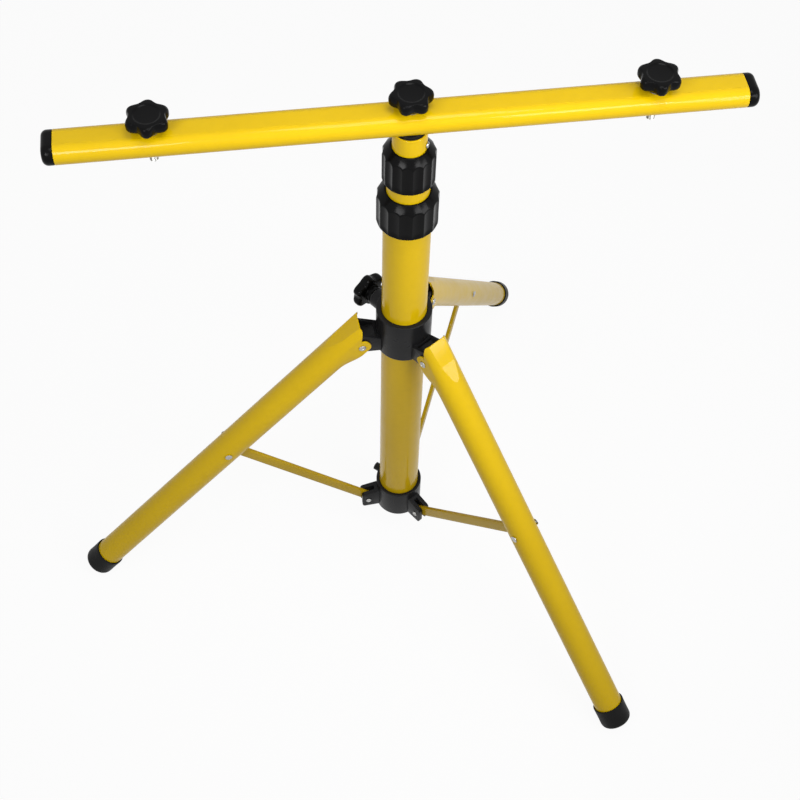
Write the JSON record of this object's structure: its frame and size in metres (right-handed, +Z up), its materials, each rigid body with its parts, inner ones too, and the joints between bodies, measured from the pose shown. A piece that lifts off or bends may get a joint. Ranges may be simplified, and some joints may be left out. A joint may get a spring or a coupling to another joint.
{
  "type": "folding tripod light stand",
  "caption": "Folding tripod stand with a telescopic mast, twist-lock collars, a sliding leg hub with struts, and a crossbar with clamp knobs for work lamps.",
  "frame": {"origin": "on the floor, under the middle of the stand's overall box with the legs open and the mast lowered", "axes": "+Z up along the mast, +X along the crossbar towards its right end, +Y away from the side that the picture shows"},
  "size_m": [0.7196, 0.6892, 0.7362],
  "materials": {
    "yellow_paint": "glossy powder coat",
    "hub_plastic": "satin moulded plastic",
    "knob_plastic": "moulded plastic with a soft sheen",
    "foot_rubber": "matte rubber",
    "nylon": "plain moulded nylon",
    "zinc_steel": "zinc plated"
  },
  "bodies": {
    "base": {"outer_tube": "yellow_paint", "base_plug": "hub_plastic", "outer_collet": "nylon", "lower_hub": "hub_plastic", "lower_hub_screw": "zinc_steel", "strut_pin_left": "zinc_steel", "strut_pin_front": "zinc_steel", "strut_pin_rear": "zinc_steel"},
    "upper_hub": {"upper_hub": "hub_plastic", "hub_nut": "zinc_steel", "leg_pin_left": "zinc_steel", "leg_pin_front": "zinc_steel", "leg_pin_rear": "zinc_steel"},
    "leg_left": {"leg_left": "yellow_paint", "foot_left": "foot_rubber", "leg_rivet_left_a": "zinc_steel", "leg_rivet_left_b": "zinc_steel"},
    "leg_front": {"leg_front": "yellow_paint", "foot_front": "foot_rubber", "leg_rivet_front_a": "zinc_steel", "leg_rivet_front_b": "zinc_steel"},
    "leg_rear": {"leg_rear": "yellow_paint", "foot_rear": "foot_rubber", "leg_rivet_rear_a": "zinc_steel", "leg_rivet_rear_b": "zinc_steel"},
    "strut_left": {"strut_left": "yellow_paint"},
    "strut_front": {"strut_front": "yellow_paint"},
    "strut_rear": {"strut_rear": "yellow_paint"},
    "hub_washer": {"washer_hub": "nylon"},
    "hub_knob": {"knob_hub": "knob_plastic", "stud_hub": "zinc_steel"},
    "lower_collar": {"lower_collar": "knob_plastic"},
    "middle_mast": {"middle_tube": "yellow_paint", "middle_bush": "nylon", "middle_collet": "nylon"},
    "upper_collar": {"upper_collar": "knob_plastic"},
    "inner_mast": {"inner_tube": "yellow_paint", "inner_bush": "nylon", "top_plug": "hub_plastic", "plug_nut": "zinc_steel", "plug_screw": "zinc_steel"},
    "bar": {"cross_bar": "yellow_paint", "bar_cap_left": "hub_plastic", "bar_cap_right": "hub_plastic", "rivet_nut_left": "zinc_steel", "rivet_nut_right": "zinc_steel"},
    "left_washer": {"washer_left": "zinc_steel"},
    "left_knob": {"knob_left": "knob_plastic", "stud_left": "zinc_steel"},
    "centre_washer": {"washer_centre": "zinc_steel"},
    "centre_knob": {"knob_centre": "knob_plastic", "stud_centre": "zinc_steel"},
    "right_washer": {"washer_right": "zinc_steel"},
    "right_knob": {"knob_right": "knob_plastic", "stud_right": "zinc_steel"}
  },
  "joints": [
    {"name": "hub_slide", "type": "slide", "parent": "base", "child": "upper_hub", "axis": [0, 0, 1], "range_m": [0, 0.136]},
    {"name": "leg_fold_left", "type": "hinge", "parent": "upper_hub", "child": "leg_left", "pos_m": [-0.00645, -0.0126, 0.3958], "axis": [0.0785, -0.9969, 0], "range_deg": [0, 34.81]},
    {"name": "leg_fold_front", "type": "hinge", "parent": "upper_hub", "child": "leg_front", "pos_m": [0.06921, -0.04869, 0.3958], "axis": [0.8241, 0.5664, 0], "range_deg": [0, 34.81]},
    {"name": "leg_fold_rear", "type": "hinge", "parent": "upper_hub", "child": "leg_rear", "pos_m": [0.06563, 0.03333, 0.3958], "axis": [-0.8704, 0.4924, 0], "range_deg": [0, 34.81]},
    {"name": "strut_fold_left", "type": "hinge", "parent": "base", "child": "strut_left", "pos_m": [0.00153, -0.01197, 0.0576], "axis": [-0.0785, 0.9969, 0], "range_deg": [0, 35.21]},
    {"name": "strut_fold_front", "type": "hinge", "parent": "base", "child": "strut_front", "pos_m": [0.06468, -0.0421, 0.0576], "axis": [-0.8241, -0.5664, 0], "range_deg": [0, 35.21]},
    {"name": "strut_fold_rear", "type": "hinge", "parent": "base", "child": "strut_rear", "pos_m": [0.06169, 0.02636, 0.0576], "axis": [0.8704, -0.4924, 0], "range_deg": [0, 35.21]},
    {"name": "hub_washer_lift", "type": "slide", "parent": "upper_hub", "child": "hub_washer", "axis": [-0.6018, 0.7986, 0], "range_m": [0, 0.0025]},
    {"name": "hub_knob_turn", "type": "hinge", "parent": "hub_washer", "child": "hub_knob", "pos_m": [0.01652, 0.02474, 0.415], "axis": [-0.6018, 0.7986, 0], "range_deg": [0, 720]},
    {"name": "lower_collar_turn", "type": "hinge", "parent": "base", "child": "lower_collar", "pos_m": [0.0418, -0.0088, 0.598], "axis": [0, 0, 1], "range_deg": [0, 180]},
    {"name": "middle_slide", "type": "slide", "parent": "base", "child": "middle_mast", "axis": [0, 0, 1], "range_m": [0, 0.42]},
    {"name": "upper_collar_turn", "type": "hinge", "parent": "middle_mast", "child": "upper_collar", "pos_m": [0.0418, -0.0088, 0.654], "axis": [0, 0, 1], "range_deg": [0, 180]},
    {"name": "inner_slide", "type": "slide", "parent": "middle_mast", "child": "inner_mast", "axis": [0, 0, 1], "range_m": [0, 0.44]},
    {"name": "bar_swivel", "type": "hinge", "parent": "inner_mast", "child": "bar", "pos_m": [0.0418, -0.0088, 0.7063], "axis": [0, 0, 1], "range_deg": [-180, 180]},
    {"name": "left_washer_lift", "type": "slide", "parent": "bar", "child": "left_washer", "axis": [0, 0, 1], "range_m": [0, 0.0075]},
    {"name": "left_knob_turn", "type": "hinge", "parent": "left_washer", "child": "left_knob", "pos_m": [-0.1883, -0.0088, 0.717], "axis": [0, 0, 1], "range_deg": [0, 2160]},
    {"name": "centre_washer_lift", "type": "slide", "parent": "bar", "child": "centre_washer", "axis": [0, 0, 1], "range_m": [0, 0.0025]},
    {"name": "centre_knob_turn", "type": "hinge", "parent": "centre_washer", "child": "centre_knob", "pos_m": [0.0418, -0.0088, 0.717], "axis": [0, 0, 1], "range_deg": [0, 720]},
    {"name": "right_washer_lift", "type": "slide", "parent": "bar", "child": "right_washer", "axis": [0, 0, 1], "range_m": [0, 0.0075]},
    {"name": "right_knob_turn", "type": "hinge", "parent": "right_washer", "child": "right_knob", "pos_m": [0.2655, -0.0088, 0.717], "axis": [0, 0, 1], "range_deg": [0, 2160]}
  ],
  "couplings": [
    {"joint": "leg_fold_left", "follows": "hub_slide", "rad_per_m": 4.466},
    {"joint": "leg_fold_front", "follows": "hub_slide", "rad_per_m": 4.466},
    {"joint": "leg_fold_rear", "follows": "hub_slide", "rad_per_m": 4.466},
    {"joint": "strut_fold_left", "follows": "hub_slide", "rad_per_m": 4.5173},
    {"joint": "strut_fold_front", "follows": "hub_slide", "rad_per_m": 4.5173},
    {"joint": "strut_fold_rear", "follows": "hub_slide", "rad_per_m": 4.5173},
    {"joint": "hub_knob_turn", "follows": "hub_washer_lift", "rad_per_m": 5026.5},
    {"joint": "left_knob_turn", "follows": "left_washer_lift", "rad_per_m": 5026.5},
    {"joint": "centre_knob_turn", "follows": "centre_washer_lift", "rad_per_m": 5026.5},
    {"joint": "right_knob_turn", "follows": "right_washer_lift", "rad_per_m": 5026.5}
  ]
}
